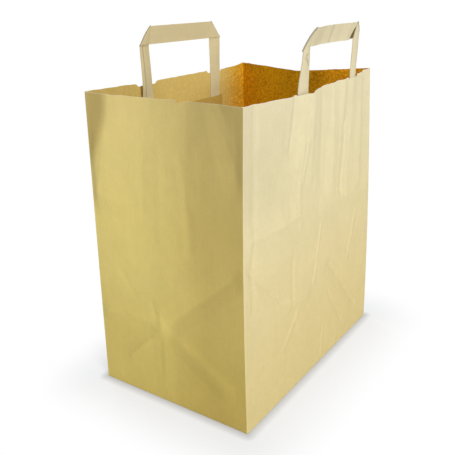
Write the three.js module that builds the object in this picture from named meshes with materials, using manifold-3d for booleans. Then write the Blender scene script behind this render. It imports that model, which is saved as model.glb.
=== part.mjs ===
// Paper carrier bag: one folded and glued kraft sheet with a block bottom, two flat
// paper handles folded to a mitre at each top corner, and a glued patch over each pair
// of handle ends. Millimetres, +Z up, origin at the middle of the base.

import * as THREE from 'three';
import { mergeVertices } from 'three/addons/utils/BufferGeometryUtils.js';
import Module from 'manifold-3d';

// Driving dimensions
const WIDTH = 260;           // front and back panels, corner to corner at the base
const DEPTH = 170;           // gusset panels, corner to corner at the base
const HEIGHT = 290;          // base to rim
const PAPER = 0.16;          // one thickness of the kraft sheet
const FOLD_SIZE = 1;         // width of the rounding at each upright fold
const FLAP_LAP = 15;         // how far each long bottom flap passes the middle line
const SEAM_GROOVE = 0.6;     // gap seen at the free edge of the outer bottom flap
const BASE_ROUND = 0.9;      // height over which the walls fold under the base
const NOTCH_WIDTH = 30;      // dip in the rim at each handle leg
const NOTCH_SLOPE = 3;       // length of each slanted end of that dip
const HANDLE_SPACING = 114;  // middle to middle of the two legs
const STRIP_WIDTH = 18;      // width of the handle strip
const STRIP = 0.6;           // thickness of the strip, several plies pressed flat
const HANDLE_RISE = 50;      // rim to the top of the handle
const LEG_DEPTH = 60;        // rim to the lower end of a leg
const PLY_GAP = 0.2;         // between the two layers of a mitre fold
const SEAT = 0.3;            // clearance between pieces that lie on each other
const PATCH_WIDTH = 148;
const PATCH_HEIGHT = 38;
const PATCH_DROP = 30;       // rim to the upper edge of a patch
const PATCH_PAPER = 0.2;
const PATCH_RAMP = 4;        // over which a patch climbs onto a leg

// Grid of the folded sheet
const WIDE_COLUMNS = 20;
const GUSSET_COLUMNS = 14;
const ROWS = [0, 0.07, 0.18, 0.36, 0.6, 0.8, 1];  // shares of the height that rows start from
const ROW_STEP = 14;

// Where the photographed bag has leaned away from a true box. reach is how far the corner
// has moved in X and Y at the rim, bend how fast that comes in with height, belly how far
// the fold bows at half height, and low how far its rim lies below HEIGHT.
const CORNERS = {
  frontLeft: { x: -1, y: -1, reach: [-3, -1], bend: 1, belly: [-1.2, 0.8], low: 0.4 },
  frontRight: { x: 1, y: -1, reach: [-6, 8], bend: 1.6, belly: [0, 0], low: 0 },
  backRight: { x: 1, y: 1, reach: [-8, -5.5], bend: 1.4, belly: [0, 0], low: 1.2 },
  backLeft: { x: -1, y: 1, reach: [-2, -7], bend: 1.2, belly: [0, 0], low: 0.5 },
};

const clamp = (value, low, high) => Math.min(high, Math.max(low, value));
const mix = (a, b, share) => a + (b - a) * share;
const smooth = (low, high, value) => {
  const s = clamp((value - low) / (high - low), 0, 1);
  return s * s * (3 - 2 * s);
};
const tent = (t, peak) => Math.min(t / peak, (1 - t) / (1 - peak));

// How far up the gusset's own crease a height lies: 0 at the point where the block
// bottom's folds meet, 1 at the rim.
const gussetRise = (z) => clamp((z - DEPTH / 2) / (HEIGHT - DEPTH / 2), 0, 1);

// The stretch of a line of [place, value] pairs that a place falls on.
function stretchAt(points, place) {
  const found = points.findIndex(([at]) => at >= place);
  const next = found < 0 ? points.length - 1 : Math.max(found, 1);
  return [...points[next - 1], ...points[next]];
}

// Value of a line of straight stretches.
function brokenLine(points, place) {
  const [a, valueA, b, valueB] = stretchAt(points, place);
  return mix(valueA, valueB, clamp((place - a) / (b - a), 0, 1));
}

// How far the front panel stands out along its rim, by share of its width.
const FRONT_RIM = [[0.05, 0], [0.22, 12], [0.38, 12], [0.55, 7], [0.66, 9.5], [0.76, 7.5],
  [0.91, 0], [1, 0]];

// Each panel runs from one upright fold to the next, counter-clockwise from above.
// swell is how far it stands out (+) or in (-), sag how far its rim hangs down, creases
// the folds and dents that show: ends as [share of the width, height], rise out (+) or
// in (-), and half width. handle is where its handle stands, from the panel's middle, and
// notch how deep the rim dips at each of the handle's legs.
const PANELS = [
  {
    from: 'frontLeft', to: 'frontRight', columns: WIDE_COLUMNS,
    swell: (t, z) => brokenLine(FRONT_RIM, t) * smooth(150, HEIGHT + 20, z),
    sag: () => 0,
    handle: 8.5,
    notch: 1.5,
    creases: [
      { from: [0, 183], to: [0.35, 177], rise: 1.5, half: 17 },
      { from: [0.57, 172], to: [1, 162], rise: 1.5, half: 17 },
      { from: [0.02, 157], to: [0.25, 100], rise: -1.6, half: 13 },
      { from: [0.25, 98], to: [0.42, 94], rise: 1.2, half: 12 },
      { from: [0.62, 106], to: [0.86, 36], rise: -1.5, half: 13 },
      { from: [0.33, 245], to: [0.33, 180], rise: 1.4, half: 12 },
      { from: [0.255, 290], to: [0.25, 245], rise: -2.2, half: 18 },
      { from: [0.12, 240], to: [0.34, 181], rise: -2.2, half: 18 },
      { from: [0.36, 290], to: [0.41, 212], rise: 1.4, half: 12 },
      { from: [0.46, 290], to: [0.52, 195], rise: -1.4, half: 12 },
      { from: [0.56, 290], to: [0.61, 186], rise: 1.5, half: 12 },
      { from: [0.7, 290], to: [0.71, 178], rise: -1.5, half: 12 },
      { from: [0.87, 290], to: [0.87, 185], rise: 1.5, half: 14 },
    ],
  },
  {
    from: 'frontRight', to: 'backRight', columns: GUSSET_COLUMNS,
    swell: (t, z) => -33 * tent(t, 0.44) * gussetRise(z),
    sag: (t) => 2.4 * tent(t, 0.44),
    creases: [],
  },
  {
    from: 'backRight', to: 'backLeft', columns: WIDE_COLUMNS,
    swell: (t, z) => -7 * smooth(0, 0.3, t) * (1 - smooth(0.7, 1, t)) * smooth(100, HEIGHT, z),
    sag: (t) => 0.7 * Math.sin(Math.PI * t),
    handle: -3.1,
    notch: 2.6,
    creases: [
      { from: [0, 172], to: [1, 174], rise: 1.6, half: 26 },
    ],
  },
  {
    from: 'backLeft', to: 'frontLeft', columns: GUSSET_COLUMNS,
    swell: (t, z) => -12.5 * mix(Math.sin(Math.PI * t), tent(t, 0.62), 0.35) * gussetRise(z) ** 0.9,
    sag: (t) => 2.2 * Math.sin(Math.PI * t),
    nick: { at: 0.585, half: 0.035, depth: 2.4 },
    creases: [
      { from: [0.47, 0], to: [0.45, 76], rise: 0.9, half: 12 },
      { from: [0.03, 77], to: [0.42, 81], rise: 0.8, half: 12 },
      { from: [0.45, 77], to: [0.21, 36], rise: 1, half: 12 },
      { from: [0.58, 68], to: [0.86, 38], rise: 1.3, half: 13 },
      { from: [0.53, 90], to: [0.92, 148], rise: -1.6, half: 15 },
      { from: [0.155, 290], to: [0.05, 200], rise: 2.4, half: 20 },
      { from: [0.28, 290], to: [0.17, 200], rise: 1.2, half: 20 },
      { from: [0.83, 290], to: [0.95, 235], rise: -1.2, half: 17 },
    ],
  },
];

// A corner of the sheet at a height.
function cornerAt(name, z) {
  const corner = CORNERS[name];
  const share = z / HEIGHT;
  const reach = share ** corner.bend;
  const belly = Math.sin(Math.PI * clamp(share, 0, 1));
  return new THREE.Vector2(
    corner.x * WIDTH / 2 + corner.reach[0] * reach + corner.belly[0] * belly,
    corner.y * DEPTH / 2 + corner.reach[1] * reach + corner.belly[1] * belly,
  );
}

// Height that one crease adds at a point of a panel: a soft ridge with straight sides.
function creaseAt(crease, wide, t, z) {
  const start = new THREE.Vector2(crease.from[0] * wide, crease.from[1]);
  const run = new THREE.Vector2(crease.to[0] * wide, crease.to[1]).sub(start);
  const point = new THREE.Vector2(t * wide, z).sub(start);
  const along = clamp(point.dot(run) / run.lengthSq(), 0, 1);
  const away = point.sub(run.multiplyScalar(along)).length();
  return crease.rise * Math.max(0, 1 - away / crease.half);
}

// Outer face of a panel at a share t of its width and a height z, in plan.
function panelPoint(panel, t, z) {
  const a = cornerAt(panel.from, z);
  const run = cornerAt(panel.to, z).sub(a);
  const out = new THREE.Vector2(run.y, -run.x).normalize();
  const wide = run.length();
  const dents = panel.creases.reduce((sum, crease) => sum + creaseAt(crease, wide, t, z), 0);
  const held = smooth(0, 0.05, t) * smooth(0, 0.05, 1 - t) * smooth(0, 12, z);
  const swell = panel.swell(t, z) + dents * held;
  return a.addScaledVector(run, t).addScaledVector(out, swell);
}

const shareOf = (distance, wide = WIDTH) => 0.5 + distance / wide;

// The two leg centres of a panel's handle, from the panel's middle.
const legCentres = (panel) => (panel.handle === undefined ? []
  : [panel.handle - HANDLE_SPACING / 2, panel.handle + HANDLE_SPACING / 2]);

// Where the upright grid lines of a panel stand: even steps, and lines of their own at
// the edges of the handle legs and of the dips in the rim.
function columnShares(panel) {
  const wide = panel.columns === WIDE_COLUMNS ? WIDTH : DEPTH;
  const edge = FOLD_SIZE / wide;
  const special = [edge, 1 - edge];
  for (const centre of legCentres(panel)) {
    for (const reach of [STRIP_WIDTH / 2, NOTCH_WIDTH / 2 - NOTCH_SLOPE, NOTCH_WIDTH / 2]) {
      special.push(shareOf(centre - reach), shareOf(centre + reach));
    }
  }
  if (panel.nick) {
    const { at, half } = panel.nick;
    special.push(at - half, at - half / 2, at + half);
  }
  const near = 5 / wide;
  const even = Array.from({ length: panel.columns - 1 }, (_, i) => (i + 1) / panel.columns);
  const free = even.filter((t) => special.every((s) => Math.abs(s - t) > near));
  return [...special, ...free].sort((a, b) => a - b);
}

// Heights of the rows of the grid, from the base to just below the rim.
function rowHeights() {
  const heights = [0, 0.3, BASE_ROUND];
  for (let band = 1; band < ROWS.length; band += 1) {
    const low = ROWS[band - 1] * HEIGHT;
    const high = Math.min(ROWS[band] * HEIGHT, HEIGHT - 4);
    const steps = Math.max(1, Math.round((high - low) / ROW_STEP));
    for (let step = 1; step <= steps; step += 1) heights.push(mix(low, high, step / steps));
  }
  return heights;
}

// How far the rim of a panel lies below HEIGHT.
function rimDrop(panel, t) {
  const away = legCentres(panel).map((centre) => Math.abs((t - 0.5) * WIDTH - centre));
  const near = Math.min(...away, Infinity);
  const notch = 1 - clamp((near - NOTCH_WIDTH / 2 + NOTCH_SLOPE) / NOTCH_SLOPE, 0, 1);
  const low = mix(CORNERS[panel.from].low, CORNERS[panel.to].low, t);
  let drop = low + panel.sag(t) + (panel.notch ?? 0) * notch;
  if (panel.nick) {
    const { at, half, depth } = panel.nick;
    drop += depth * brokenLine([[at - half, 0], [at - half / 2, 1], [at + half, 0]], t);
  }
  return drop;
}

for (const panel of PANELS) {
  panel.shares = columnShares(panel);
}
const HEIGHTS = rowHeights();
const TOP_ROW = HEIGHTS[HEIGHTS.length - 1];

// How far the sheet is drawn in at its lowest rows, where it folds under the base.
const baseInset = (z) => (z >= BASE_ROUND ? 0 : 0.5 * (1 - z / BASE_ROUND) ** 2);

// One ring of the outer face: a closed run of points round all four panels. The topmost
// ring follows the rim.
function outerRing(z, atRim = false) {
  const ring = [];
  for (const panel of PANELS) {
    for (const t of panel.shares) {
      const height = atRim ? HEIGHT - rimDrop(panel, t) : z;
      const flat = panelPoint(panel, t, height);
      ring.push(new THREE.Vector3(flat.x, flat.y, height));
    }
  }
  return atRim ? ring : insetRing(ring, baseInset(z));
}

// The same ring moved inwards by a distance, square to the sheet.
function insetRing(ring, distance) {
  if (distance === 0) return ring;
  return ring.map((point, i) => {
    const before = ring[(i + ring.length - 1) % ring.length];
    const after = ring[(i + 1) % ring.length];
    const first = new THREE.Vector2(point.x - before.x, point.y - before.y).normalize();
    const second = new THREE.Vector2(after.x - point.x, after.y - point.y).normalize();
    const inward = new THREE.Vector2(-first.y - second.y, first.x + second.x).normalize();
    const square = Math.max(0.5, -first.y * inward.x + first.x * inward.y);
    const step = distance / square;
    return new THREE.Vector3(point.x + inward.x * step, point.y + inward.y * step, point.z);
  });
}

// A geometry from points and triangles.
function geometryOf(points, triangles) {
  const geometry = new THREE.BufferGeometry();
  const positions = points.flatMap((p) => [p.x, p.y, p.z]);
  geometry.setAttribute('position', new THREE.Float32BufferAttribute(positions, 3));
  geometry.setIndex(triangles);
  geometry.computeVertexNormals();
  return geometry;
}

// Skins a stack of closed rings with as many points each, and closes each end with a fan
// from its middle. The rings turn counter-clockwise seen against the direction of the stack.
// From the ring numbered turned on, the quads are split along their other diagonal, so that
// the inner face of a thin sheet follows its outer one.
function skinRings(rings, turned) {
  const count = rings[0].length;
  const triangles = [];
  for (let row = 1; row < rings.length; row += 1) {
    for (let i = 0; i < count; i += 1) {
      const j = (i + 1) % count;
      const a = (row - 1) * count + i;
      const b = (row - 1) * count + j;
      const c = row * count + j;
      const d = row * count + i;
      if (row < turned) triangles.push(a, b, c, a, c, d);
      else triangles.push(a, b, d, b, c, d);
    }
  }
  const last = rings.length - 1;
  const middle = (ring) => ring.reduce((sum, p) => sum.add(p), new THREE.Vector3())
    .divideScalar(count);
  const hub = rings.length * count;
  for (let i = 0; i < count; i += 1) {
    const j = (i + 1) % count;
    triangles.push(j, i, hub, last * count + i, last * count + j, hub + 1);
  }
  return geometryOf([...rings.flat(), middle(rings[0]), middle(rings[last])], triangles);
}

// The floor is three thicknesses of paper: end flaps inside, long flaps outside.
const FLOOR = 3 * PAPER;

// The open tub: up the outer face, over the rim, down the inner face to the floor.
function tubGeometry() {
  const outer = HEIGHTS.map((z) => outerRing(z));
  const rim = outerRing(HEIGHT, true);
  const inner = HEIGHTS.filter((z) => z > FLOOR).map((z) => insetRing(outerRing(z), PAPER));
  const floor = insetRing(outerRing(FLOOR), PAPER);
  const rings = [...outer, rim, insetRing(rim, PAPER), ...inner.reverse(), floor];
  return skinRings(rings, outer.length + 1);
}

// Cutter for the underside: the end flaps lie one thickness above the long ones, and a
// narrow groove runs along the free edge of the outer long flap.
function undersideCutter() {
  const past = 2;
  const endX = WIDTH / 2;
  const endY = DEPTH / 2;
  const point = endX - endY;  // where the diagonal edges of the long flaps meet, from the middle
  const low = FLAP_LAP + SEAM_GROOVE;
  const shape = new THREE.Shape();
  shape.moveTo(-endX - past, -endY - past);
  shape.lineTo(-point - low, -low);
  shape.lineTo(point + low, -low);
  shape.lineTo(endX + past, -endY - past);
  shape.lineTo(endX + past, endY + past);
  shape.lineTo(point, 0);
  shape.lineTo(point + FLAP_LAP, -FLAP_LAP);
  shape.lineTo(-point - FLAP_LAP, -FLAP_LAP);
  shape.lineTo(-point, 0);
  shape.lineTo(-endX - past, endY + past);
  const cutter = new THREE.ExtrudeGeometry(shape, { depth: 1 + PAPER, bevelEnabled: false });
  cutter.translate(0, 0, -1);
  return cutter;
}

const wasm = await Module();
wasm.setup();

// Boolean solid of a closed geometry.
function solidOf(geometry) {
  const bare = geometry.clone();
  bare.deleteAttribute('normal');
  bare.deleteAttribute('uv');
  const merged = mergeVertices(bare, 1e-5);
  return new wasm.Manifold(new wasm.Mesh({
    numProp: 3,
    vertProperties: new Float32Array(merged.attributes.position.array),
    triVerts: new Uint32Array(merged.index.array),
  }));
}

// Geometry of a boolean solid.
function geometryFrom(solid) {
  const mesh = solid.getMesh();
  const geometry = new THREE.BufferGeometry();
  geometry.setAttribute('position', new THREE.BufferAttribute(mesh.vertProperties, 3));
  geometry.setIndex(new THREE.BufferAttribute(mesh.triVerts, 1));
  geometry.computeVertexNormals();
  return geometry;
}

function bagGeometry() {
  return geometryFrom(solidOf(tubGeometry()).subtract(solidOf(undersideCutter())));
}

// The outer face as it is really faceted, so that what is glued to it lies flat on it.
function facetPoint(panel, t, z) {
  const shares = panel.shares;
  const right = clamp(shares.findIndex((s) => s >= t), 1, shares.length - 1);
  const upper = clamp(HEIGHTS.findIndex((h) => h >= z), 1, HEIGHTS.length - 1);
  const across = (t - shares[right - 1]) / (shares[right] - shares[right - 1]);
  const up = (z - HEIGHTS[upper - 1]) / (HEIGHTS[upper] - HEIGHTS[upper - 1]);
  const at = (column, row) => panelPoint(panel, shares[column], HEIGHTS[row]);
  const low = at(right - 1, upper - 1).lerp(at(right, upper - 1), across);
  const high = at(right - 1, upper).lerp(at(right, upper), across);
  return low.lerp(high, up);
}

// A point on the inside of a panel: a distance from the panel's middle, a height, and how
// far it stands off the paper. Above the topmost row it keeps to the upright through it.
function insidePoint(panel, distance, z, off) {
  const held = Math.min(z, TOP_ROW);
  const t = shareOf(distance);
  const reach = 2 / WIDTH;
  const point = facetPoint(panel, t, held);
  const run = facetPoint(panel, t + reach, held).sub(facetPoint(panel, t - reach, held));
  const inward = new THREE.Vector2(-run.y, run.x).normalize();
  point.addScaledVector(inward, PAPER + off);
  return new THREE.Vector3(point.x, point.y, z);
}

// How each handle has bent, along its width from the middle of the handle. bends gives how
// far the strip stands off its line, inwards, at the rim, at the bar's lower edge and at its
// upper edge. spread is how far each leg has moved outwards by the rim, splay how much
// further by the bar, lift how far the bar's lower and upper edges have moved up, and
// pocket how deep the bar hangs back behind the leg where a mitre has opened.
const LEG_OUT = (HANDLE_SPACING + STRIP_WIDTH) / 2;
const LEG_IN = (HANDLE_SPACING - STRIP_WIDTH) / 2;
const HANDLES = {
  front: {
    panel: PANELS[0],
    bends: [
      { at: -LEG_OUT, rim: 1.3, low: -2.6, top: -4.4 },
      { at: -57, rim: 2.1, low: -1.6, top: -4.4 },
      { at: -LEG_IN, rim: 3.3, low: 2.6, top: -4.5 },
      { at: 5, rim: 0, low: 1.8, top: -3.2 },
      { at: LEG_IN, rim: 0, low: -0.8, top: -5.5 },
      { at: LEG_OUT, rim: 0.3, low: -0.8, top: -5.5 },
    ],
    spread: [0, 0],
    splay: [0, 1.1],
    lift: [
      { at: -LEG_OUT, low: 0.8, top: -0.2 },
      { at: -LEG_IN, low: 2.8, top: -0.2 },
      { at: LEG_IN, low: 1.7, top: -0.8 },
    ],
    pocket: [0, 4.5],
  },
  back: {
    panel: PANELS[2],
    bends: [
      { at: -LEG_OUT, rim: 0.6, low: 0.5, top: 2 },
      { at: -LEG_IN, rim: 0, low: -1.2, top: 1.4 },
      { at: LEG_IN, rim: 0, low: -2.3, top: 1 },
      { at: LEG_IN + 13.5, rim: 4, low: 2, top: 1.6 },
      { at: LEG_OUT, rim: 4.9, low: 2.9, top: 2 },
    ],
    spread: [0, 2.5],
    splay: [1.2, -1.1],
    lift: [
      { at: -LEG_OUT, low: -0.6, top: -1.9 },
      { at: LEG_OUT, low: 0.5, top: -1 },
    ],
    pocket: [0, 0],
  },
};

const TOP = HEIGHT + HANDLE_RISE;
const BAR_LOW = TOP - STRIP_WIDTH;

// A point of the handle's strip: distance from the handle's middle, height, and how far
// it lies inside the leg's outer ply.
function stripPoint(handle, distance, z, depth) {
  const end = distance < 0 ? 0 : 1;
  const bend = (key) => brokenLine(handle.bends.map((b) => [b.at, b[key]]), distance);
  const free = HEIGHT - PATCH_DROP + 2;
  const toRim = smooth(free, HEIGHT - 4, z);
  const toLow = smooth(HEIGHT, BAR_LOW, z);
  const toTop = clamp((z - BAR_LOW) / STRIP_WIDTH, 0, 1.1);
  const stand = mix(mix(0, bend('rim'), toRim), bend('low'), toLow);
  const lean = (bend('top') - bend('low')) * toTop ** 1.2;
  const outwards = handle.spread[end] * toRim + handle.splay[end] * toLow;
  const raised = (edge) => brokenLine(handle.lift.map((l) => [l.at, l[edge]]), distance);
  const lift = mix(raised('low'), raised('top'), clamp(toTop, 0, 1)) * toLow;
  const place = handle.panel.handle + distance + outwards * Math.sign(distance);
  const point = insidePoint(handle.panel, place, z, SEAT + depth + stand + lean);
  point.z += lift;
  return point;
}

// Cross sections of the strip, from the lower end of one leg to that of the other. Each
// has the strip's two edges, the depth of its middle, how far it has rolled through the
// mitre fold (0 to pi) and which corner that is.
function stripSections(handle) {
  const sections = [];
  const bend = (STRIP + PLY_GAP) / 2;
  const legRows = (low, high) => {
    const clear = HEIGHT - PATCH_DROP + 2;
    const rows = HEIGHTS.filter((z) => z > low + 2 && z < clear - 2);
    const free = [clear, clear + 7, clear + 14, TOP_ROW, HEIGHT + 8, HEIGHT + 18, HEIGHT + 27];
    return [low, ...rows, ...free.filter((z) => z < high)];
  };
  const leg = (side) => legRows(HEIGHT - LEG_DEPTH, BAR_LOW).map((z) => ({
    outer: [side * LEG_OUT, z], inner: [side * LEG_IN, z], depth: STRIP / 2, roll: 0, side,
  }));
  const mitre = (side) => {
    const outer = [side * LEG_OUT, BAR_LOW];
    const inner = [side * LEG_IN, TOP];
    const half = { outer: [side * LEG_OUT, BAR_LOW - 3], inner: [side * LEG_IN, BAR_LOW + 6] };
    const rolls = [0, 0.25, 0.5, 0.75, 1].map((share) => ({
      outer, inner, depth: STRIP / 2 + bend, roll: Math.PI * share, side,
    }));
    return [{ ...half, depth: STRIP / 2, roll: 0, side }, ...rolls];
  };
  const barShares = [0.06, 0.12, 0.2, 0.35, 0.5, 0.65, 0.8, 0.88, 0.94];
  sections.push(...leg(-1), ...mitre(-1));
  for (const share of barShares) {
    sections.push({
      outer: [mix(-LEG_OUT, LEG_OUT, share), BAR_LOW],
      inner: [mix(-LEG_IN, LEG_IN, share), TOP],
      depth: STRIP / 2 + 2 * bend, roll: Math.PI, side: share < 0.5 ? -1 : 1,
    });
  }
  sections.push(...mitre(1).reverse(), ...leg(1).reverse());
  return sections;
}

const ACROSS = [0, 0.35, 0.65, 1];  // where points lie across the strip
const ROLL = (STRIP + PLY_GAP) / 2;  // radius of the strip's middle round a mitre fold

// Extra depth of the bar where it hangs back behind an opened mitre.
function pocketDepth(handle, distance, z) {
  const corner = distance < 0 ? 0 : 1;
  const side = corner === 0 ? -1 : 1;
  const across = (TOP - z) / STRIP_WIDTH;
  const beyond = side * distance - (LEG_IN - 4.3 * across);
  const toFold = (LEG_OUT - side * distance) - (z - BAR_LOW);
  const open = smooth(0, 4, beyond) * smooth(0, 9, toFold);
  return handle.pocket[corner] * open * across;
}

function handleGeometry(handle) {
  const rings = stripSections(handle).map((section) => {
    const face = (side) => ACROSS.map((share) => {
      const distance = mix(section.outer[0], section.inner[0], share);
      const z = mix(section.outer[1], section.inner[1], share);
      const rolled = section.roll > 0 && section.roll < Math.PI;
      const sweep = rolled || section.depth === STRIP / 2 + ROLL;
      const radius = (sweep ? ROLL : 0) - side * STRIP / 2;
      const sine = Math.sin(section.roll);
      const cosine = Math.cos(section.roll);
      const outward = (sweep ? radius : -side * STRIP / 2) * sine * Math.SQRT1_2;
      const depth = section.depth - (sweep ? radius : -side * STRIP / 2) * cosine;
      const back = section.roll === Math.PI && !sweep ? pocketDepth(handle, distance, z) : 0;
      return stripPoint(handle, distance + section.side * outward, z + outward, depth + back);
    });
    return [...face(-1), ...face(1).reverse()];
  });
  return loftRings(rings);
}

// Skins a run of small closed rings, each up one face of a sheet and back down the other,
// and closes the ends with a strip of triangles across.
function loftRings(rings) {
  const count = rings[0].length;
  const triangles = [];
  for (let row = 1; row < rings.length; row += 1) {
    for (let i = 0; i < count; i += 1) {
      const j = (i + 1) % count;
      const a = (row - 1) * count + i;
      const b = (row - 1) * count + j;
      if (i < count / 2) triangles.push(a, b, b + count, a, b + count, a + count);
      else triangles.push(a, b, a + count, b, b + count, a + count);
    }
  }
  const last = (rings.length - 1) * count;
  for (let i = 0; i < count / 2 - 1; i += 1) {
    const j = count - 1 - i;
    triangles.push(i, j, j - 1, i, j - 1, i + 1);
    triangles.push(last + i, last + j - 1, last + j, last + i, last + i + 1, last + j - 1);
  }
  const geometry = geometryOf(rings.flat(), triangles);
  return geometryFrom(turnedOut(geometry));
}

// The same closed surface with its faces pointing out.
function turnedOut(geometry) {
  const index = geometry.index.array;
  const at = (i) => new THREE.Vector3().fromBufferAttribute(geometry.attributes.position, i);
  let volume = 0;
  for (let i = 0; i < index.length; i += 3) {
    volume += at(index[i]).dot(at(index[i + 1]).cross(at(index[i + 2])));
  }
  if (volume < 0) geometry.setIndex(Array.from(index).reverse());
  return solidOf(geometry);
}

// The patch: a strip of paper that climbs over both legs and lies on the panel elsewhere.
function patchGeometry(handle) {
  const { panel } = handle;
  const overLeg = STRIP + SEAT;
  const stand = (distance) => {
    const near = Math.min(...legCentres(panel).map((c) => Math.abs(c - panel.handle - distance)));
    const flat = STRIP_WIDTH / 2 + 1;
    return SEAT + overLeg * (1 - smooth(flat, flat + PATCH_RAMP, near));
  };
  const ends = [-PATCH_WIDTH / 2, PATCH_WIDTH / 2];
  const steps = [-LEG_OUT, -LEG_IN, LEG_IN, LEG_OUT].flatMap((edge) => {
    const out = Math.sign(Math.abs(edge) - HANDLE_SPACING / 2) * Math.sign(edge);
    return [edge + out, edge + out * (1 + PATCH_RAMP / 2), edge + out * (1 + PATCH_RAMP)];
  });
  const own = panel.shares.map((t) => (t - 0.5) * WIDTH - panel.handle);
  const free = own.filter((d) => Math.abs(d) < PATCH_WIDTH / 2 - 1
    && steps.every((s) => Math.abs(s - d) > 0.8));
  const columns = [...ends, ...steps, ...free].sort((a, b) => a - b);
  const top = HEIGHT - PATCH_DROP;
  const bottom = top - PATCH_HEIGHT;
  const rows = [bottom, ...HEIGHTS.filter((z) => z > bottom + 1 && z < top - 1), top];
  const rings = columns.map((distance) => {
    const face = (off) => rows.map((z) => (
      insidePoint(panel, panel.handle + distance, z, stand(distance) + off)));
    return [...face(0), ...face(PATCH_PAPER).reverse()];
  });
  return loftRings(rings);
}

// Finishes: kraft paper, pale and matt, the handles a little greyer than the bag.
const kraft = (colour, roughness) => new THREE.MeshStandardMaterial({
  color: new THREE.Color(colour), roughness, metalness: 0,
});

function piece(name, geometry, material) {
  const mesh = new THREE.Mesh(geometry, material);
  mesh.name = name;
  return mesh;
}

const group = new THREE.Group();
group.add(piece('bag_body', bagGeometry(), kraft('#d9c68c', 0.85)));
group.add(piece('front_handle', handleGeometry(HANDLES.front), kraft('#dccfa6', 0.82)));
group.add(piece('back_handle', handleGeometry(HANDLES.back), kraft('#c8b788', 0.82)));
group.add(piece('front_handle_patch', patchGeometry(HANDLES.front), kraft('#bfae82', 0.85)));
group.add(piece('back_handle_patch', patchGeometry(HANDLES.back), kraft('#bfae82', 0.85)));

export default group;
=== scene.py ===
import math

import bpy
from mathutils import Matrix, Vector, noise


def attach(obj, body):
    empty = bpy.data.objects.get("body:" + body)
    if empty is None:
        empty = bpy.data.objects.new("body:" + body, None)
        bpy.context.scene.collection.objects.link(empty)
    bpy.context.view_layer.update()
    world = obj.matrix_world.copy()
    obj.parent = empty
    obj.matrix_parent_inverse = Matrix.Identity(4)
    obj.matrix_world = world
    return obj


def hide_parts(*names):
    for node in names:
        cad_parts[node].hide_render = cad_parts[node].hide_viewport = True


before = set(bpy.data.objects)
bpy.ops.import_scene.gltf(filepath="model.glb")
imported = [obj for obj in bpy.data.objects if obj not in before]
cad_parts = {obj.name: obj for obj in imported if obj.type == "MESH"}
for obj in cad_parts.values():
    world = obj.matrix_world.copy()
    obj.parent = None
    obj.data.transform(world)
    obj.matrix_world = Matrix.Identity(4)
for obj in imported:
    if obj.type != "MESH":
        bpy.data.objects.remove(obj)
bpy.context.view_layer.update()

MM = 0.001

# Sizes of the real bag in millimetres, the same as the solids are made from
WIDTH = 260
DEPTH = 170
HEIGHT = 290
PAPER = 0.16
FOLD_SIZE = 1
FLAP_LAP = 15
SEAM_GROOVE = 0.6
BASE_ROUND = 0.9
NOTCH_WIDTH = 30
NOTCH_SLOPE = 3
HANDLE_SPACING = 114
STRIP_WIDTH = 18
STRIP = 0.6
HANDLE_RISE = 50
LEG_DEPTH = 60
PLY_GAP = 0.2
SEAT = 0.3
PATCH_WIDTH = 148
PATCH_HEIGHT = 38
PATCH_DROP = 30
PATCH_PAPER = 0.2
PATCH_RAMP = 4

# Spacing of a patch's columns and number of its rows
PATCH_COLUMN = 1
PATCH_ROWS = 12

# The sheet's grid: height of its last level row, spacing of the rows, and the rows between
# there and the cut rim as shares of the way
TOP_ROW = 286
ROW_STEP = 2.2
RIM_SHARES = (0.5, 0.82, 1)

# Plies under the inside floor, and how far the bottom flaps lie in from the base's edges
FLOOR_PLIES = 3
END_FLAP_INSET = 0.1
LONG_FLAP_INSET = 0.5
FLAP_GAP = 0.01

# The four panels, by their places in the lists below
FRONT, RIGHT, BACK, LEFT = range(4)

LEG_OUT = (HANDLE_SPACING + STRIP_WIDTH) / 2
LEG_IN = (HANDLE_SPACING - STRIP_WIDTH) / 2
TOP = HEIGHT + HANDLE_RISE
BAR_LOW = TOP - STRIP_WIDTH


# In what follows t is the share of the way across a panel and z the height above the base
def clamp(value, low, high):
    return min(high, max(low, value))


def mix(a, b, share):
    return a + (b - a) * share


def smooth(low, high, value):
    s = clamp((value - low) / (high - low), 0, 1)
    return s * s * (3 - 2 * s)


def stretch_at(points, place):
    """The two points that the place lies between, joined into one tuple."""
    found = [i for i, point in enumerate(points) if point[0] >= place]
    i = max(found[0], 1) if found else len(points) - 1
    return points[i - 1] + points[i]


def broken_line(points, place):
    a, value_a, b, value_b = stretch_at(points, place)
    return mix(value_a, value_b, clamp((place - a) / (b - a), 0, 1))


def tent(t, peak):
    """0 at both folds and 1 at the peak, straight between them."""
    return min(t / peak, (1 - t) / (1 - peak))


def gusset_rise(z):
    """0 up to where a gusset starts to fold in, and 1 at the rim."""
    return clamp((z - DEPTH / 2) / (HEIGHT - DEPTH / 2), 0, 1)


# Corners: side in X and Y, reach at the rim, bend of that reach, belly, how low the rim is
CORNERS = {
    "frontLeft": ((-1, -1), (-3, -1), 1, (-1.2, 0.8), 0.4),
    "frontRight": ((1, -1), (-6, 8), 1.6, (0, 0), 0),
    "backRight": ((1, 1), (-8, -5.5), 1.4, (0, 0), 1.2),
    "backLeft": ((-1, 1), (-2, -7), 1.2, (0, 0), 0.5),
}

# How far the front's rim stands out, as (share of the width, mm)
FRONT_RIM = [(0.05, 0), (0.22, 12), (0.38, 12), (0.55, 7), (0.66, 9.5), (0.76, 7.5), (0.91, 0), (1, 0)]


def front_swell(t, z):
    return broken_line(FRONT_RIM, t) * smooth(150, HEIGHT + 20, z)


def right_swell(t, z):
    return -33 * tent(t, 0.44) * gusset_rise(z)


def back_swell(t, z):
    return -7 * smooth(0, 0.3, t) * (1 - smooth(0.7, 1, t)) * smooth(100, HEIGHT, z)


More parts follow.
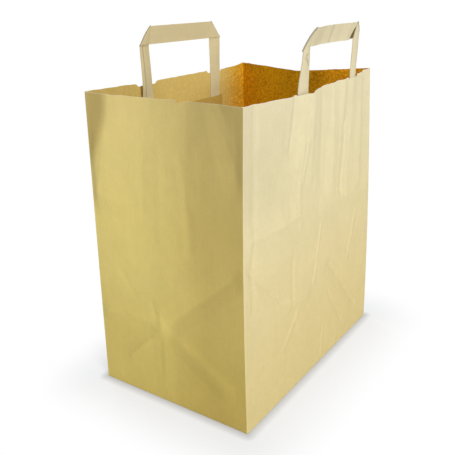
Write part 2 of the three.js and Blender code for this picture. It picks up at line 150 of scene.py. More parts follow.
def left_swell(t, z):
    return -12.5 * mix(math.sin(math.pi * t), tent(t, 0.62), 0.35) * gusset_rise(z) ** 0.9


def back_sag(t):
    return 0.7 * math.sin(math.pi * t) + 1.6 * smooth(0, 0.06, t) * (1 - smooth(0.2, 0.25, t))


# Creases of each panel: two ends as (share of the width, height), rise out (+) or in (-)
# in mm, and half width in mm. The broad ones are in the solids too
FRONT_FOLDS = [
    ((0, 183), (0.35, 177), 1.5, 17),
    ((0.57, 172), (1, 162), 1.5, 17),
    ((0.02, 157), (0.25, 100), -1.6, 13),
    ((0.25, 98), (0.42, 94), 1.2, 12),
    ((0.62, 106), (0.86, 36), -1.5, 13),
    ((0.33, 245), (0.33, 180), 1.4, 12),
    ((0.255, 290), (0.25, 245), -2.2, 18),
    ((0.12, 240), (0.34, 181), -2.2, 18),
    ((0.36, 290), (0.41, 212), 1.4, 12),
    ((0.46, 290), (0.52, 195), -1.4, 12),
    ((0.56, 290), (0.61, 186), 1.5, 12),
    ((0.7, 290), (0.71, 178), -1.5, 12),
    ((0.87, 290), (0.87, 185), 1.5, 14),
]
FRONT_CREASES = [
    ((0.357, 248), (0.348, 211), 0.9, 2.8),
    ((0.322, 215), (0.371, 167), 1.0, 2.8),
    ((0.535, 155), (0.479, 99), 1.0, 2.8),
    ((0.693, 248), (0.707, 173), -1.1, 3.4),
    ((0.7, 178), (0.74, 170), -0.8, 3.4),
    ((0.856, 145), (0.785, 98), 0.95, 3.4),
    ((0.316, 139), (0.317, 92), -0.9, 4),
    ((0.004, 161), (0.237, 105), -0.9, 4),
    ((0.237, 105), (0.402, 93), -0.9, 4),
    ((0.621, 104), (0.877, 31), -0.9, 4),
    ((0.608, 74), (0.732, 28), -0.9, 4),
    ((0.356, 81), (0.244, 54), 0.9, 4),
    ((0.56, 37), (0.556, 6), 0.8, 3.4),
    ((0.12, 50), (0.3, 8), -1.0, 9),
    ((0.062, 289), (0.052, 120), -0.8, 6),
    ((0.006, 181), (0.118, 179), 0.6, 4),
    ((0.118, 179), (0.35, 178), 0.6, 4),
    ((0.245, 290), (0.24, 245), -0.8, 4),
]
LEFT_FOLDS = [
    ((0.47, 0), (0.45, 76), 0.8, 12),
    ((0.03, 77), (0.42, 81), 0.7, 12),
    ((0.45, 77), (0.21, 36), 0.8, 12),
    ((0.58, 68), (0.86, 38), 1.0, 13),
    ((0.53, 90), (0.92, 148), -1.6, 15),
    ((0.155, 290), (0.05, 200), 2.4, 20),
    ((0.28, 290), (0.17, 200), 1.2, 20),
    ((0.83, 290), (0.95, 235), -1.2, 17),
]
LEFT_CREASES = [
    ((0.815, 286), (0.93, 254), 0.3, 3),
    ((0.351, 239), (0.335, 185), -0.3, 6),
    ((0.44, 243), (0.45, 165), 0.25, 6),
    ((0.579, 243), (0.624, 197), -0.3, 5),
    ((0.636, 192), (0.65, 162), -0.7, 8),
    ((0.392, 102), (0.428, 81), -0.5, 4.5),
    ((0.181, 125), (0.27, 104), -0.35, 5),
    ((0.35, 155), (0.42, 162), -0.25, 6),
    ((0.03, 78), (0.24, 84), 0.3, 3),
    ((0.24, 84), (0.39, 81), 0.3, 3),
    ((0.53, 88), (0.92, 146), -0.35, 4),
    ((0.6, 70), (0.88, 42), 0.35, 4),
    ((0.447, 66), (0.44, 30), -0.45, 4),
    ((0.214, 38), (0.405, 69), 0.4, 3.5),
]

# Panels, each from one fold to the next: swell is how far the wall stands out, sag how low the
# rim hangs, handle where the middle of its handle is, notch how deep the cut beside each leg is,
# nick a torn place of the rim as (share, half share, depth), step the spacing of its columns
PANELS = [
    {
        "from": "frontLeft", "to": "frontRight", "wide": WIDTH, "swell": front_swell, "step": 1.6,
        "sag": lambda t: 0, "handle": 8.5, "notch": 1.5, "nick": None,
        "creases": FRONT_FOLDS + FRONT_CREASES, "seed": 11,
    },
    {
        "from": "frontRight", "to": "backRight", "wide": DEPTH, "swell": right_swell, "step": 6,
        "sag": lambda t: 2.4 * tent(t, 0.44), "handle": None, "notch": 0, "nick": None,
        "creases": [], "seed": 23,
    },
    {
        "from": "backRight", "to": "backLeft", "wide": WIDTH, "swell": back_swell, "step": 6,
        "sag": back_sag, "handle": -3.1, "notch": 2.6, "nick": None,
        "creases": [((0, 172), (1, 174), 1.6, 26)], "seed": 37,
    },
    {
        "from": "backLeft", "to": "frontLeft", "wide": DEPTH, "swell": left_swell, "step": 2.2,
        "sag": lambda t: 2.2 * math.sin(math.pi * t), "handle": None, "notch": 0,
        "nick": (0.585, 0.035, 2.4),
        "creases": LEFT_FOLDS + LEFT_CREASES, "seed": 5,
    },
]


def corner_at(name, z):
    side, reach, bend, belly, _ = CORNERS[name]
    share = z / HEIGHT
    grown = share ** bend
    bow = math.sin(math.pi * clamp(share, 0, 1))
    return Vector((
        side[0] * WIDTH / 2 + reach[0] * grown + belly[0] * bow,
        side[1] * DEPTH / 2 + reach[1] * grown + belly[1] * bow,
    ))


def crease_at(crease, wide, t, z):
    (t0, z0), (t1, z1), rise, half = crease
    start = Vector((t0 * wide, z0))
    run = Vector((t1 * wide, z1)) - start
    point = Vector((t * wide, z)) - start
    along = clamp(point.dot(run) / run.length_squared, 0, 1)
    away = (point - run * along).length
    return rise * max(0, 1 - away / half)


def buckle_at(panel, t, z):
    """The sheet's unevenness: waves some 60 mm long with shorter ones on them, taller than wide."""
    across = t * panel["wide"]
    long = noise.noise(Vector((across / 34, z / 60, panel["seed"])))
    short = noise.noise(Vector((across / 13, z / 24, panel["seed"] + 50)))
    return 0.55 * long + 0.16 * short


def panel_point(panel, t, z):
    a = corner_at(panel["from"], z)
    run = corner_at(panel["to"], z) - a
    out = Vector((run.y, -run.x)).normalized()
    wide = run.length
    dents = sum(crease_at(crease, wide, t, z) for crease in panel["creases"])
    dents += buckle_at(panel, t, z)
    # the folds and the base hold the sheet straight
    held = smooth(0, 0.05, t) * smooth(0, 0.05, 1 - t) * smooth(0, 12, z)
    return a + run * t + out * (panel["swell"](t, z) + dents * held)


def leg_centres(panel):
    if panel["handle"] is None:
        return []
    return [panel["handle"] - HANDLE_SPACING / 2, panel["handle"] + HANDLE_SPACING / 2]


def rim_drop(panel, t):
    near = min((abs((t - 0.5) * WIDTH - centre) for centre in leg_centres(panel)), default=WIDTH)
    notch = 1 - clamp((near - NOTCH_WIDTH / 2 + NOTCH_SLOPE) / NOTCH_SLOPE, 0, 1)
    low = mix(CORNERS[panel["from"]][4], CORNERS[panel["to"]][4], t)
    drop = low + panel["sag"](t) + panel["notch"] * notch
    if panel["nick"]:
        at, half, depth = panel["nick"]
        drop += depth * broken_line([(at - half, 0), (at - half / 2, 1), (at + half, 0)], t)
    # the cut edge is slightly uneven
    return drop + 0.45 * noise.noise(Vector((t * panel["wide"] / 7, panel["seed"], 0.5)))


# The folded sheet, on a fine grid: shares across every panel and rows up it
def column_shares(panel):
    wide = panel["wide"]
    edge = FOLD_SIZE / wide
    special = [edge, 1 - edge]
    for centre in leg_centres(panel):
        for reach in (NOTCH_WIDTH / 2 - NOTCH_SLOPE, NOTCH_WIDTH / 2):
            special += [0.5 + (centre - reach) / WIDTH, 0.5 + (centre + reach) / WIDTH]
    if panel["nick"]:
        at, half, _ = panel["nick"]
        special += [at - half, at - half / 2, at + half]
    count = round(wide / panel["step"])
    even = [i / count for i in range(1, count)]
    free = [t for t in even if all(abs(s - t) > 1.2 / wide for s in special)]
    return sorted(special + free)


ROWS = [0, 0.3, BASE_ROUND] + [ROW_STEP * i for i in range(1, int(TOP_ROW / ROW_STEP))] + [TOP_ROW - 1]
COLUMNS = [(k, t) for k, panel in enumerate(PANELS) for t in column_shares(panel)]


def base_inset(z):
    """How far the round of the lower edge draws the sheet in."""
    return 0 if z >= BASE_ROUND else 0.5 * (1 - z / BASE_ROUND) ** 2


def inset_ring(ring, distance):
    """The ring moved inwards, by the same distance square to every stretch of it."""
    if distance == 0:
        return ring
    moved = []
    for i, point in enumerate(ring):
        before = ring[i - 1]
        after = ring[(i + 1) % len(ring)]
        first = (point - before).to_2d().normalized()
        second = (after - point).to_2d().normalized()
        inward = Vector((-first.y - second.y, first.x + second.x)).normalized()
        square = max(0.5, -first.y * inward.x + first.x * inward.y)
        step = inward * (distance / square)
        moved.append(Vector((point.x + step.x, point.y + step.y, point.z)))
    return moved


def outer_ring(z, share=0.0):
    """One ring of the outer face, the share of the way from the level z up to the cut rim."""
    ring = []
    for k, t in COLUMNS:
        height = mix(z, HEIGHT - rim_drop(PANELS[k], t), share)
        flat = panel_point(PANELS[k], t, height)
        ring.append(Vector((flat.x, flat.y, height)))
    return inset_ring(ring, base_inset(z))


def mesh_object(name, points, faces, materials, slots=None, smooth_angle=35):
    mesh = bpy.data.meshes.new(name)
    mesh.from_pydata([p * MM for p in points], [], faces)
    for material in materials:
        mesh.materials.append(material)
    if slots:
        mesh.polygons.foreach_set("material_index", slots)
    mesh.update()
    obj = bpy.data.objects.new(name, mesh)
    bpy.context.scene.collection.objects.link(obj)
    bpy.ops.object.select_all(action="DESELECT")
    obj.select_set(True)
    bpy.context.view_layer.objects.active = obj
    bpy.ops.object.shade_smooth_by_angle(angle=math.radians(smooth_angle))
    return obj


# Colours
def srgb(code):
    parts = [int(code[i:i + 2], 16) / 255 for i in (1, 3, 5)]
    return [c / 12.92 if c <= 0.04045 else ((c + 0.055) / 1.055) ** 2.4 for c in parts] + [1.0]


def add_node(material, kind, settings=None, links=None):
    """Adds a node with its settings, and links: input name or number to an output socket."""
    node = material.node_tree.nodes.new(kind)
    for key, value in (settings or {}).items():
        if isinstance(key, str) and hasattr(node, key):
            setattr(node, key, value)
        else:
            node.inputs[key].default_value = value
    for key, socket in (links or {}).items():
        material.node_tree.links.new(socket, node.inputs[key])
    return node


def new_material(name):
    material = bpy.data.materials.new(name)
    material.use_nodes = True
    material.node_tree.nodes.clear()
    return material


# Grain of kraft paper, in millimetres: spacing and length of the paper machine's upright ribs,
# size of the fibres, of the pulp's two kinds of cloud and of the raw inner face's flecks. Real
# fibres are finer, and are drawn as coarse as they need to show
RIB_SPACING = 0.7143
RIB_LENGTH = 89.29
FIBRE = 1.1111
SMALL_CLOUD = 7.692
CLOUD = 31.25
FLECK = 2.381
# How much each of them changes the tone, either way
RIB_TONE = 0.018
SMALL_CLOUD_TONE = 0.014
CLOUD_TONE = 0.016
# What a fleck multiplies the tone of the raw inner face by
FLECK_LIGHT = (1.75, 1.8, 1.7, 1)


def per_metre(size):
    """Scale of a noise whose features are so many millimetres wide."""
    return 1 / (size * MM)


def paper_material(name, fibre_tone=0.045, flecked=False):
    """Uncoated kraft paper, matt, in the tone painted on the mesh, with its fibres, ribs and clouds."""
    m = new_material(name)
    place = add_node(m, "ShaderNodeTexCoord").outputs["Object"]
    paint = add_node(m, "ShaderNodeAttribute", {"attribute_name": "paper_tone"})
    upright = add_node(m, "ShaderNodeMapping", {"Scale": (1, 1, RIB_SPACING / RIB_LENGTH)},
                       {"Vector": place}).outputs[0]
    ribs = add_node(m, "ShaderNodeTexNoise", {"Scale": per_metre(RIB_SPACING), "Detail": 1},
                    {"Vector": upright})
    fibres = add_node(m, "ShaderNodeTexNoise",
                      {"Scale": per_metre(FIBRE), "Detail": 4, "Roughness": 0.7}, {"Vector": place})
    small_clouds = add_node(m, "ShaderNodeTexNoise", {"Scale": per_metre(SMALL_CLOUD), "Detail": 2},
                            {"Vector": place})
    clouds = add_node(m, "ShaderNodeTexNoise", {"Scale": per_metre(CLOUD), "Detail": 2},
                      {"Vector": place})
    grain = (
        (ribs, RIB_TONE),
        (fibres, fibre_tone),
        (small_clouds, SMALL_CLOUD_TONE),
        (clouds, CLOUD_TONE),
    )
    shown = paint.outputs["Color"]
    for source, change in grain:
        part = add_node(m, "ShaderNodeMapRange", {1: 0.3, 2: 0.7, 3: 1 - change, 4: 1 + change},
                        {"Value": source.outputs["Fac"]}).outputs[0]
        shown = add_node(m, "ShaderNodeMix", {"data_type": "RGBA", "blend_type": "MULTIPLY", 0: 1.0},
                         {6: shown, 7: part}).outputs[2]
    if flecked:
        # bright flecks, as strong as the paint's alpha says
        spots = add_node(m, "ShaderNodeTexNoise",
                         {"Scale": per_metre(FLECK), "Detail": 4, "Roughness": 0.7}, {"Vector": place})
        spread = add_node(m, "ShaderNodeMapRange", {1: 0.42, 2: 0.62, 3: 0.0, 4: 1.0},
                          {"Value": spots.outputs["Fac"]}).outputs[0]
        strength = add_node(m, "ShaderNodeMath", {"operation": "MULTIPLY"},
                            {0: spread, 1: paint.outputs["Alpha"]}).outputs[0]
        shown = add_node(m, "ShaderNodeMix",
                         {"data_type": "RGBA", "blend_type": "MULTIPLY", 7: FLECK_LIGHT},
                         {0: strength, 6: shown}).outputs[2]
    height = add_node(m, "ShaderNodeMath", {"operation": "ADD"},
                      {0: ribs.outputs["Fac"], 1: fibres.outputs["Fac"]})
    relief = add_node(m, "ShaderNodeBump", {"Strength": 0.1, "Distance": 0.1 * MM},
                      {"Height": height.outputs[0]})
    shader = add_node(m, "ShaderNodeBsdfPrincipled", {"Roughness": 0.86, "Specular IOR Level": 0.2},
                      {"Base Color": shown, "Normal": relief.outputs[0]})
    add_node(m, "ShaderNodeOutputMaterial", {}, {"Surface": shader.outputs[0]})
    return m


# All are unbleached kraft paper, uncoated and machine made, which looks matt with faint upright
# ribs. The sheet's outer face is smooth and its inner face raw and flecked
outside = paper_material("kraft_outside")
inside = paper_material("kraft_inside", 0.05, flecked=True)
handle_pale = paper_material("handle_kraft_front")
handle_tan = paper_material("handle_kraft_back")
patch_paper = paper_material("patch_kraft_tan", 0.04)

# Colours of the handles and of the patches behind them
HANDLE_PALE = "#DED2AE"
HANDLE_TAN = "#E4D5A6"
PATCH_TAN = "#CDAA54"


def in_linear(tones):
    """Stops of height and colour for each panel, with the colours in linear light."""
    return [[(z, srgb(code)) for z, code in stops] for stops in tones]


# Colours of each panel from the base up, darker towards the base: pale straw in front and behind, and a
# deeper olive tan at the sides, which is painted shade, as the side panels of the one sheet stand less
# in the light
OUTER_TONES = in_linear([
    [(0, "#D5C389"), (70, "#DAC891"), (150, "#DECF9E"), (200, "#E1D4A8"), (290, "#E3D8B1")],
    [(0, "#D8C479"), (290, "#DECB85")],
    [(0, "#D8C58C"), (170, "#DDCD9A"), (290, "#E0D3A6")],
    [(0, "#DAC46F"), (60, "#DEC974"), (120, "#E7D380"), (170, "#E9D582"), (290, "#E3CE86")],
])
# The raw inner face is deeper, towards orange brown, and darker towards the base. The right gusset's
# inner face is a saturated orange, painted light standing in for light that shines through the paper and
# bounces inside
INNER_TONES = in_linear([
    [(0, "#B8963C"), (290, "#C8A850")],
    [(0, "#B87A0A"), (290, "#E6AD12")],
    [(0, "#C8A040"), (290, "#E2C572")],
    [(0, "#B8963C"), (290, "#C8A850")],
])
# How strongly each panel's inner face is flecked
INNER_FLECKS = [0.2, 1.0, 0.14, 0.2]

# Painted shade: shares of red, green and blue that the places painted darker lose
FRONT_TOP_PAINTED_SHADE = (0.1, 0.1, 0.1)
FRONT_FOLD_PAINTED_SHADE = (0.17, 0.21, 0.28)
REAR_WEDGE_PAINTED_SHADE = (0.29, 0.33, 0.4)
GUSSET_FRONT_PAINTED_SHADE = (0.42, 0.54, 0.8)
GUSSET_REAR_PAINTED_SHADE = (0.25, 0.3, 0.5)
BACK_RIGHT_PAINTED_SHADE = (0.3, 0.3, 0.3)
BACK_LEFT_PAINTED_SHADE = (0.2, 0.2, 0.2)
# How much of the gusset's brown the back wall takes on beside it: painted shade and painted light
# bounced from the gusset
GUSSET_BROWN_PAINTED_SHARE = 0.88
# Painted highlight: how far the cut rim is painted paler than the sheet
RIM_PAINTED_HIGHLIGHT = 0.45


def graded(stops, z):
    i = min(max([k for k, stop in enumerate(stops) if stop[0] <= z] or [0]), len(stops) - 2)
    share = clamp((z - stops[i][0]) / (stops[i + 1][0] - stops[i][0]), 0, 1)
    return [mix(p, q, share) for p, q in zip(stops[i][1][:3], stops[i + 1][1])]


def with_painted_shade(tone, shade, share):
    return [c * (1 - loss * share) for c, loss in zip(tone, shade)]


def outer_tone(k, point):
    """Colour of the outer face at a point of panel k."""
    tone = graded(OUTER_TONES[k], point.z)
    if k == FRONT:
        # painted shade: darker below the rim, left of the handle
        tone = with_painted_shade(tone, FRONT_TOP_PAINTED_SHADE, smooth(-60, -90, point.x) * smooth(170, 230, point.z))
    if k == LEFT:
        # painted shade: darker towards the front fold, and in the wedge that the rear fold pulls in
        # below the rim
        front = smooth(25, -50, point.y) * mix(1, 0.75, smooth(180, 240, point.z))
        from_rear = (DEPTH / 2 - point.y) / DEPTH - 0.16 * smooth(195, 285, point.z)
        wedge = smooth(0.04, -0.03, from_rear) * smooth(190, 225, point.z)
        tone = with_painted_shade(with_painted_shade(tone, FRONT_FOLD_PAINTED_SHADE, front), REAR_WEDGE_PAINTED_SHADE, wedge)
    return tone + [0.0]


def inner_tone(k, point):
    """Colour of the inner face at a point of panel k, and how strongly it is flecked."""
    tone = graded(INNER_TONES[k], point.z)
    flecks = INNER_FLECKS[k]
    if k == BACK:
        # browner and more flecked towards the right fold, the brown as painted shade and painted light
        # bounced from the gusset, and painted shade darker towards both folds
        right = smooth(62, 120, point.x)
        brown = graded(INNER_TONES[RIGHT], point.z)
        tone = [mix(p, q, GUSSET_BROWN_PAINTED_SHARE * right) for p, q in zip(tone, brown)]
        tone = with_painted_shade(tone, BACK_RIGHT_PAINTED_SHADE, right)
        tone = with_painted_shade(tone, BACK_LEFT_PAINTED_SHADE, smooth(-20, -80, point.x))
        flecks = mix(flecks, 1, right)
    if k == RIGHT:
        # painted shade: redder and darker towards the front, and browner near the rear fold
        tone = with_painted_shade(tone, GUSSET_FRONT_PAINTED_SHADE, smooth(15, -50, point.y))
        tone = with_painted_shade(tone, GUSSET_REAR_PAINTED_SHADE, smooth(25, 75, point.y))
    return tone + [flecks]


# Places of the sheet's two materials
OUTER, INNER = range(2)


def skin_faces(lower, upper, i, j):
    """One cell between two rings as two triangles, cut from the lower left to the upper right.

    Both faces of the thin sheet are cut the same way, so they never meet.
    """
    return [(lower + i, lower + j, upper + j), (lower + i, upper + j, upper + i)]


def paint_sheet(obj, points, slots, panels, rim):
    """Gives each corner of the sheet's faces its tone, and the cut rim a painted highlight. rim holds
    the numbers of the cut rim's points.
    """
    layer = obj.data.color_attributes.new("paper_tone", "FLOAT_COLOR", "CORNER")
    values = []
    for polygon, slot, k in zip(obj.data.polygons, slots, panels):
        tone_of = inner_tone if slot == INNER else outer_tone
        for index in polygon.vertices:
            tone = tone_of(k, points[index])
            # painted highlight: the cut rim is painted paler
            if index in rim:
                tone = [mix(c, 1, RIM_PAINTED_HIGHLIGHT) for c in tone[:3]] + [1.0]
            values += tone
    layer.data.foreach_set("color", values)


def build_bag():
    """The folded sheet: its outer and inner face, the cut rim, the floor and the end flaps."""
    floor_z = FLOOR_PLIES * PAPER
    outer = {z: outer_ring(z) for z in ROWS + [floor_z]}
    rim = [outer_ring(TOP_ROW, share) for share in RIM_SHARES]
    outside_rings = [outer[z] for z in ROWS] + rim
    inside_rings = [inset_ring(outer[z], PAPER) for z in [floor_z] + [z for z in ROWS if z > floor_z]]
    inside_rings += [inset_ring(ring, PAPER) for ring in rim]
    count = len(COLUMNS)
    points = [p for ring in outside_rings + inside_rings for p in ring]
    faces, slots, panels = [], [], []

    def add(new_faces, slot, k):
        faces.extend(new_faces)
        slots.extend([slot] * len(new_faces))
        panels.extend([k] * len(new_faces))

    first_inside = len(outside_rings) * count
    top_out = first_inside - count
    top_in = first_inside + (len(inside_rings) - 1) * count
    for i in range(count):
        j = (i + 1) % count
        k = COLUMNS[i][0]
        # the strip that goes round a fold takes the tone of the panel after it
        for row in range(1, len(outside_rings)):
            add(skin_faces((row - 1) * count, row * count, i, j), OUTER, COLUMNS[j][0])
        for row in range(1, len(inside_rings)):
            low = first_inside + (row - 1) * count
            add([face[::-1] for face in skin_faces(low, low + count, i, j)], INNER, k)
        add(skin_faces(top_out, top_in, i, j), OUTER, k)
    # floor inside, a fan round its middle
    middle = len(points)
    points.append(Vector((0, 0, floor_z)))
    for i in range(count):
        add([(first_inside + i, first_inside + (i + 1) % count, middle)], INNER, FRONT)
    # end flaps, one thickness up, closing the underside
    under = len(points)
    points.append(Vector((0, 0, PAPER)))
    first = len(points)
    points.extend(Vector((p.x, p.y, PAPER)) for p in inset_ring(outside_rings[0], END_FLAP_INSET))
    for i in range(count):
        j = (i + 1) % count
        add([(j, i, first + i, first + j), (first + j, first + i, under)], OUTER, RIGHT)
    obj = mesh_object("bag_sheet", points, faces, [outside, inside], slots)
    paint_sheet(obj, points, slots, panels, range(top_out, first_inside))
    return obj


def build_flaps():
    """The two long bottom flaps under the base."""
    x, y = WIDTH / 2 - LONG_FLAP_INSET, DEPTH / 2 - LONG_FLAP_INSET
    point = WIDTH / 2 - DEPTH / 2
    low = FLAP_LAP + SEAM_GROOVE
    back = [(-x, y), (-point, 0), (-point - FLAP_LAP, -FLAP_LAP), (point + FLAP_LAP, -FLAP_LAP),
            (point, 0), (x, y)]
    front = [(-x, -y), (x, -y), (point + low, -low), (-point - low, -low)]
    points, faces = [], []
    for outline in (back, front):
        start = len(points)
        n = len(outline)
        points += [Vector((px, py, 0)) for px, py in outline]
        points += [Vector((px, py, PAPER - FLAP_GAP)) for px, py in outline]
        faces.append(tuple(range(start + n, start + 2 * n)))
        faces.append(tuple(range(start + n - 1, start - 1, -1)))
        for i in range(n):
            j = (i + 1) % n
            faces.append((start + i, start + j, start + n + j, start + n + i))
    return points, faces


# Handles: how each has bent, from the middle of the handle: distance, then how far it
# stands inwards at the rim, at the bar's lower edge and at its upper edge. spread is how far
# each leg has moved outwards by the rim and splay how much further by the bar, pocket how far
# the bar hangs back behind each opened mitre, lift how far the bar's lower and upper edges have
# moved up, and creases are like the panels', with distances in mm for the shares
HANDLES = {
    "front": {
        "panel": PANELS[FRONT],
        "bends": [(-LEG_OUT, 1.3, -2.6, -4.4), (-57, 2.1, -1.6, -4.4), (-LEG_IN, 3.3, 2.6, -4.5),
                  (5, 0, 1.8, -3.2), (LEG_IN, 0, -0.8, -5.5), (LEG_OUT, 0.3, -0.8, -5.5)],
        "spread": (0, 0), "splay": (0, 1.1), "pocket": (0, 4.5),
        "lift": [(-LEG_OUT, 0.8, -0.2), (-LEG_IN, 2.8, -0.2), (LEG_IN, 1.7, -0.8)],
        "creases": [((-54.8, 319), (-59.7, 316), 0.7, 2), ((-59.7, 316), (-50, 309), 0.7, 2),
                    ((-1, 340), (-1, 322), 0.5, 1.8)],
    },
    "back": {
        "panel": PANELS[BACK],
        "bends": [(-LEG_OUT, 0.6, 0.5, 2), (-LEG_IN, 0, -1.2, 1.4), (LEG_IN, 0, -2.3, 1),
                  (LEG_IN + 13.5, 4, 2, 1.6), (LEG_OUT, 4.9, 2.9, 2)],
        "spread": (0, 2.5), "splay": (1.2, -1.1), "pocket": (0, 0),
        "lift": [(-LEG_OUT, -0.6, -1.9), (LEG_OUT, 0.5, -1)],
        "creases": [((LEG_IN + 13, 322), (LEG_IN + 12, 264), -0.5, 1.6)],
    },
}


def inside_point(panel, distance, z, off):
    """A point inside a panel, off its inner face, at a distance along it from its middle."""
    held = min(z, TOP_ROW)
    t = 0.5 + distance / WIDTH
    reach = 2 / WIDTH
    point = panel_point(panel, t, held)
    run = panel_point(panel, t + reach, held) - panel_point(panel, t - reach, held)
    inward = Vector((-run.y, run.x)).normalized()
    point = point + inward * (PAPER + off)
    return Vector((point.x, point.y, z))


def strip_point(handle, distance, z, depth):
    """A point of a handle's strip: distance from the handle's middle, height, depth in its plies."""
    end = 0 if distance < 0 else 1

    def bend(column):
        return broken_line([(row[0], row[column]) for row in handle["bends"]], distance)

    # the patch holds the strip to the wall below this height
    free = HEIGHT - PATCH_DROP + 2
    to_rim = smooth(free, HEIGHT - 4, z)
    to_low = smooth(HEIGHT, BAR_LOW, z)
    to_top = clamp((z - BAR_LOW) / STRIP_WIDTH, 0, 1.1)
    stand = mix(bend(1) * to_rim, bend(2), to_low)
    lean = (bend(3) - bend(2)) * to_top ** 1.2
    outwards = handle["spread"][end] * to_rim + handle["splay"][end] * to_low
    low, top = (broken_line([(row[0], row[edge]) for row in handle["lift"]], distance)
                for edge in (1, 2))
    lift = mix(low, top, clamp(to_top, 0, 1)) * to_low
    stand += sum(crease_at(crease, 1, distance, z) for crease in handle["creases"])
    place = handle["panel"]["handle"] + distance + outwards * math.copysign(1, distance)
    point = inside_point(handle["panel"], place, z, SEAT + depth + stand + lean)
    point.z += lift
    return point


# Radius of a mitre's fold, length of the stretch that turns into it, and steps along each part
ROLL = (STRIP + PLY_GAP) / 2
TURN = 6
LEG_STEPS = 70
TURN_STEPS = 8
BAR_STEPS = 120


def pocket_depth(handle, distance, z):
    """How far the bar hangs back behind the leg, where a mitre has opened."""
    corner = 0 if distance < 0 else 1
    side = -1 if corner == 0 else 1
    across = (TOP - z) / STRIP_WIDTH
    beyond = side * distance - (LEG_IN - 6.5 * across)
    to_fold = (LEG_OUT - side * distance) - (z - BAR_LOW)
    opened = smooth(0, 4, beyond) * smooth(0, 9, to_fold)
    return handle["pocket"][corner] * opened * across


def strip_sections():
    """(outer edge, inner edge, depth of the middle, roll, side) from one leg's end to the other's."""
    low = HEIGHT - LEG_DEPTH
    heights = [mix(low, BAR_LOW - TURN, i / LEG_STEPS) for i in range(LEG_STEPS + 1)]

    def leg(side):
        return [((side * LEG_OUT, z), (side * LEG_IN, z), STRIP / 2, 0, side) for z in heights]

    def mitre(side):
        turn = []
        for i in range(1, TURN_STEPS):
            s = i / TURN_STEPS
            turn.append(((side * LEG_OUT, mix(BAR_LOW - TURN, BAR_LOW, s)),
                         (side * LEG_IN, mix(BAR_LOW - TURN, TOP, s)), STRIP / 2, 0, side))
        for i in range(TURN_STEPS + 1):
            turn.append(((side * LEG_OUT, BAR_LOW), (side * LEG_IN, TOP), STRIP / 2 + ROLL,
                         math.pi * i / TURN_STEPS, side))
        return turn

    bar = []
    for i in range(1, BAR_STEPS):
        s = 0.5 - 0.5 * math.cos(math.pi * i / BAR_STEPS)
        bar.append(((mix(-LEG_OUT, LEG_OUT, s), BAR_LOW), (mix(-LEG_IN, LEG_IN, s), TOP),
                    STRIP / 2 + 2 * ROLL, math.pi, -1 if s < 0.5 else 1))
    return leg(-1) + mitre(-1) + bar + mitre(1)[::-1] + leg(1)[::-1]


def loft(rings):
    """Points and faces of a run of small closed rings, each up one face and back down the other."""
    count = len(rings[0])
    points = [p for ring in rings for p in ring]
    faces = []
    for row in range(1, len(rings)):
        for i in range(count):
            j = (i + 1) % count
            a, b = (row - 1) * count + i, (row - 1) * count + j
            faces.append((a, b, b + count, a + count))
    last = (len(rings) - 1) * count
    for i in range(count // 2 - 1):
        j = count - 1 - i
        faces.append((i, j, j - 1, i + 1))
        faces.append((last + j, last + i, last + i + 1, last + j - 1))
    return points, faces


def faces_out(points, faces):
    """The faces, turned over if the closed surface they make points in."""
    volume = 0
    for face in faces:
        for i in range(1, len(face) - 1):
            volume += points[face[0]].dot(points[face[i]].cross(points[face[i + 1]]))
    return faces if volume > 0 else [face[::-1] for face in faces]


def paint(obj, tones):
    """Gives each point of a mesh its tone."""
    layer = obj.data.color_attributes.new("paper_tone", "FLOAT_COLOR", "POINT")
    layer.data.foreach_set("color", [part for tone in tones for part in tone])


# Painted shade on the strips, as a share of their light: along the folded edge of a mitre, and along a
# crease, painted so many millimetres to each side
FOLD_PAINTED_SHADE = 0.5
CREASE_PAINTED_SHADE = 0.4
PAINTED_SHADE_REACH = 1.4


def strip_painted_shade(handle, distance, z, rolled):
    """How light the strip is here, past the painted shade along its folds and creases."""
    creases = [(start, end, 1, PAINTED_SHADE_REACH) for start, end, _, _ in handle["creases"]]
    near = max(crease_at(crease, 1, distance, z) for crease in creases)
    return 1 - (FOLD_PAINTED_SHADE if rolled else CREASE_PAINTED_SHADE * near)


def build_handle(name, handle, material, colour):
    """One folded strip: up a leg, over a mitre, along the bar, and down the same way."""
    # shares across the strip, closer together along its edges
    across = [0, 0.03] + [i / 20 for i in range(1, 20)] + [0.97, 1]
    base = srgb(colour)[:3]
    rings, tones = [], []
    for outer, inner, depth, roll, side in strip_sections():
        swept = depth > STRIP / 2
        rolled = depth == STRIP / 2 + ROLL
        halves, shades = [], []
        for face in (-1, 1):
            half = []
            for share in across:
                distance = mix(outer[0], inner[0], share)
                z = mix(outer[1], inner[1], share)
                radius = (ROLL if rolled else 0) - face * STRIP / 2
                outward = radius * math.sin(roll) * math.sqrt(0.5) if swept else 0
                sunk = depth - radius * math.cos(roll)
                back = pocket_depth(handle, distance, z) if swept and not rolled else 0
                half.append(strip_point(handle, distance + side * outward, z + outward, sunk + back))
                # painted shade along the mitre's folded edge and along the creases
                shades.append(strip_painted_shade(handle, distance, z, rolled))
            halves.append(half)
        rings.append(halves[0] + halves[1][::-1])
        around = shades[:len(across)] + shades[len(across):][::-1]
        tones += [[c * shade for c in base] + [0] for shade in around]
    points, faces = loft(rings)
    obj = mesh_object(name, points, faces_out(points, faces), [material])
    paint(obj, tones)
    return obj


